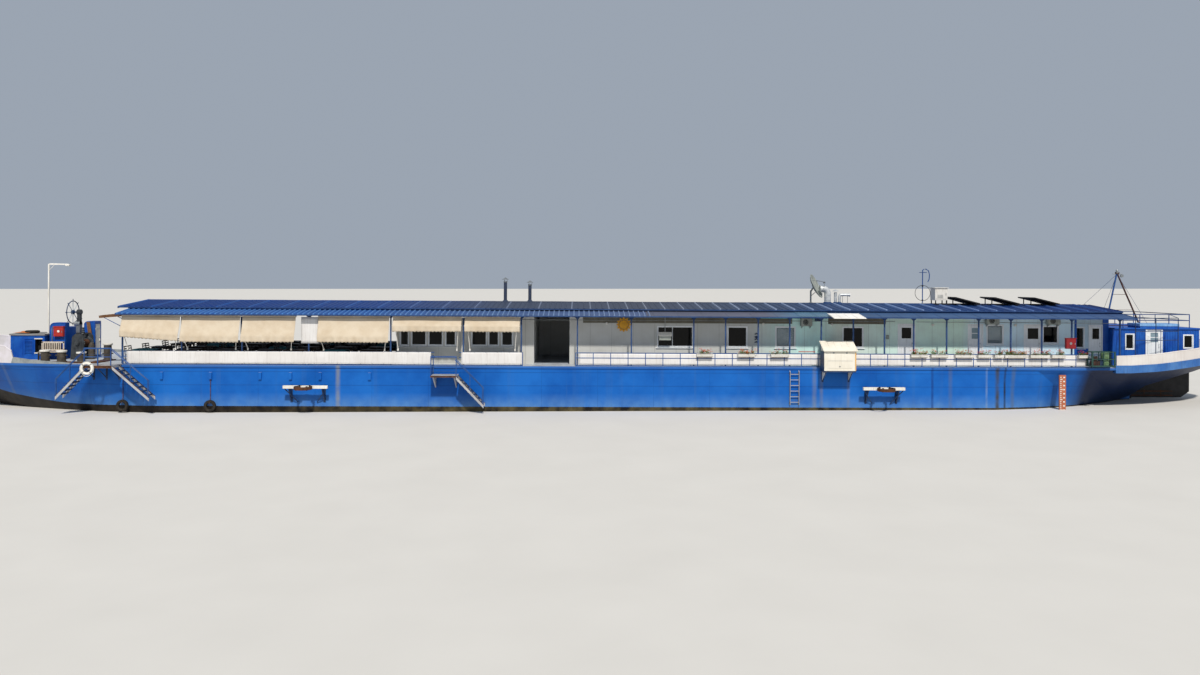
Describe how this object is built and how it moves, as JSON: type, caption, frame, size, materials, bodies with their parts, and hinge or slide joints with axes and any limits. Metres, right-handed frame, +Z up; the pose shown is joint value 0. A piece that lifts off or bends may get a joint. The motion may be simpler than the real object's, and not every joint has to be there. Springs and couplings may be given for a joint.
{
  "type": "floating restaurant barge, 1:2 scale model",
  "caption": "River barge with a roofed deckhouse and terrace, awnings, side platforms with stairs, stern cabin, bow gear, hinged doors, hand wheel, windlass and rudder.",
  "frame": {"origin": "on the flat bottom, amidships, on the centreline", "axes": "+X along the hull towards the stern, +Y to the side away from the shore platforms, +Z up"},
  "size_m": [37.5, 5.175, 4.175],
  "materials": {
    "hull_blue": "weathered gloss paint",
    "house_blue": "weathered paint",
    "rail_blue": "satin paint",
    "roof_blue": "ribbed sheet, satin paint",
    "white_paint": "satin paint",
    "wall_panel": "satin paint",
    "cream_canvas": "awning canvas",
    "cream_paint": "satin paint",
    "grey_metal": "galvanised grey",
    "dark_paint": "matte dark paint",
    "black_rubber": "worn rubber",
    "white_plastic": "foam ring cover",
    "rusty_steel": "rusty paint",
    "timber": "oiled slats"
  },
  "bodies": {
    "barge": {"antenna": "rail_blue", "awning_white": "white_paint", "awnings_house": "cream_canvas", "awnings_terrace": "cream_canvas", "basket": "grey_metal", "bench": "timber", "bollards": "dark_paint", "bow_hatch": "house_blue", "bow_house": "house_blue", "bulwark_bow": "white_paint", "bulwark_stern": "white_paint", "cabin_roof": "house_blue", "cabin_walls": "house_blue", "companion": "house_blue", "dish": "grey_metal", "eave_frame_far": "rail_blue", "eave_frame_near": "rail_blue", "entry_canopy": "timber", "hull_bow": "hull_blue", "hull_midbody": "hull_blue", "hull_stern": "hull_blue", "kiosk": "cream_paint", "ladder": "rail_blue", "lamp_post": "white_paint", "lifebuoy": "white_plastic", "mast": "rusty_steel", "pile_guide_aft": "white_paint", "pile_guide_fore": "white_paint", "platform_fore": "grey_metal", "platform_mid": "grey_metal", "railing_far": "rail_blue", "railing_near_aft": "rail_blue", "railing_near_fore": "rail_blue", "roof_equipment": "dark_paint", "roof_lower_far": "roof_blue", "roof_lower_near_aft": "roof_blue", "roof_lower_near_fore": "roof_blue", "roof_upper_aft": "roof_blue", "roof_upper_fore": "roof_blue", "terrace_frame": "rail_blue", "tyre_aft": "black_rubber", "tyre_fore": "black_rubber", "wall_end_fore": "wall_panel", "wall_far_aft": "wall_panel", "wall_far_fore": "wall_panel", "wall_lobby": "wall_panel", "wall_near_aft": "wall_panel", "wall_near_fore": "wall_panel", "wall_near_mid": "wall_panel", "wall_passage": "wall_panel", "windlass_frame": "grey_metal"},
    "hand_wheel": {"hand_wheel": "rail_blue"},
    "windlass_drum": {"windlass_drum": "grey_metal"},
    "rudder": {"rudder": "dark_paint"},
    "house_door_1": {"house_door_1": "white_paint"},
    "house_door_2": {"house_door_2": "white_paint"},
    "house_door_3": {"house_door_3": "white_paint"},
    "lobby_door": {"lobby_door": "white_paint"},
    "cabin_door": {"cabin_door": "white_paint"},
    "companion_door": {"companion_door": "white_paint"}
  },
  "joints": [
    {"name": "hand_wheel_turn", "type": "hinge", "parent": "barge", "child": "hand_wheel", "pos_m": [-14.825, 0, 2.8], "axis": [1, 0, 0], "continuous": true},
    {"name": "windlass_drum_turn", "type": "hinge", "parent": "barge", "child": "windlass_drum", "pos_m": [-14.275, -0.485, 1.95], "axis": [0, 1, 0], "continuous": true},
    {"name": "rudder_turn", "type": "hinge", "parent": "barge", "child": "rudder", "pos_m": [16.035, 0, 0.5], "axis": [0, 0, 1], "range_deg": [-35, 35]},
    {"name": "house_door_1_hinge", "type": "hinge", "parent": "barge", "child": "house_door_1", "pos_m": [8.564, -1.6228, 2.1], "axis": [0, 0, -1], "range_deg": [0, 110]},
    {"name": "house_door_2_hinge", "type": "hinge", "parent": "barge", "child": "house_door_2", "pos_m": [10.514, -1.6228, 2.1], "axis": [0, 0, -1], "range_deg": [0, 110]},
    {"name": "house_door_3_hinge", "type": "hinge", "parent": "barge", "child": "house_door_3", "pos_m": [12.079, -1.6228, 2.1], "axis": [0, 0, -1], "range_deg": [0, 110]},
    {"name": "lobby_door_hinge", "type": "hinge", "parent": "barge", "child": "lobby_door", "pos_m": [14.189, -1.1078, 2.1], "axis": [0, 0, -1], "range_deg": [0, 110]},
    {"name": "cabin_door_hinge", "type": "hinge", "parent": "barge", "child": "cabin_door", "pos_m": [15.729, -1.3078, 2.1], "axis": [0, 0, -1], "range_deg": [0, 110]},
    {"name": "companion_door_hinge", "type": "hinge", "parent": "barge", "child": "companion_door", "pos_m": [-14.1922, 0.029, 2.1], "axis": [0, 0, -1], "range_deg": [0, 110]}
  ]
}
